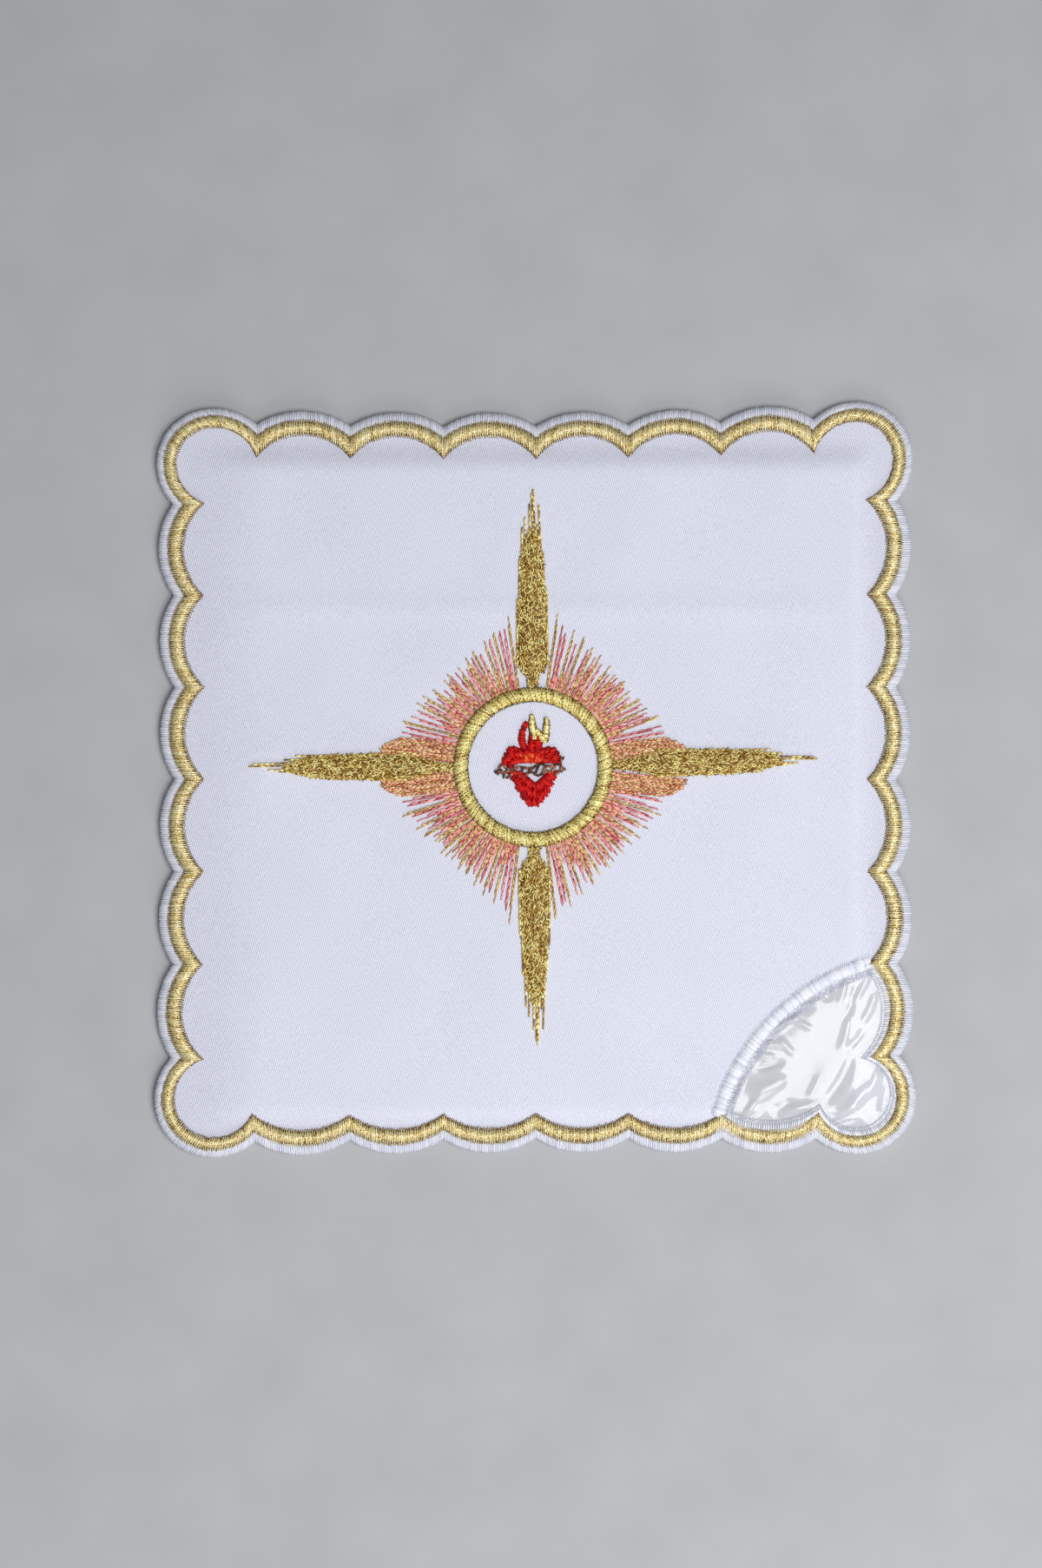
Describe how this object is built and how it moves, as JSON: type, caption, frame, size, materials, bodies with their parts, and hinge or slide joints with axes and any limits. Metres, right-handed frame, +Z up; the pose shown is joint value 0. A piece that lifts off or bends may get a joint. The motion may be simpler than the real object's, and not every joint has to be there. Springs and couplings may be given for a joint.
{
  "type": "chalice pall",
  "caption": "Stiffened square twill cloth cover for a chalice, with a scalloped satin-stitched edge, an embroidered rayed emblem and a clear corner window.",
  "frame": {"origin": "middle of the underside, on the surface the pall lies on", "axes": "+Z up through the cloth, face side up; +Y towards the top of the embroidered design; +X to its right"},
  "size_m": [0.1652, 0.1638, 0.0052],
  "materials": {
    "white_twill": "fine white twill, matt with a faint sheen",
    "white_thread": "white satin-stitched polyester thread, glossy along the stitch",
    "gold_thread": "metallic gold thread, glittering, bronze in its shadows",
    "pink_thread": "pink and dark red running stitches mixed with gold",
    "red_thread": "glossy bright red embroidery thread",
    "brown_thread": "dull brown embroidery thread",
    "clear_film": "clear glossy film, slightly rumpled",
    "clear_plate": "clear stiff plastic plate"
  },
  "bodies": {
    "root": {"back_cloth": "white_twill", "stiffening_plate": "clear_plate", "face_cloth": "white_twill", "window_film": "clear_film", "white_edging": "white_thread", "gold_edging": "gold_thread", "window_edging": "white_thread", "gold_ring": "gold_thread", "gold_ray_right": "gold_thread", "gold_ray_top": "gold_thread", "gold_ray_left": "gold_thread", "gold_ray_bottom": "gold_thread", "thin_rays_top_right": "pink_thread", "thin_rays_top_left": "pink_thread", "thin_rays_bottom_left": "pink_thread", "thin_rays_bottom_right": "pink_thread", "heart_upper": "red_thread", "heart_lower": "red_thread", "crown_of_thorns": "brown_thread", "gold_flames": "gold_thread"}
  },
  "joints": []
}
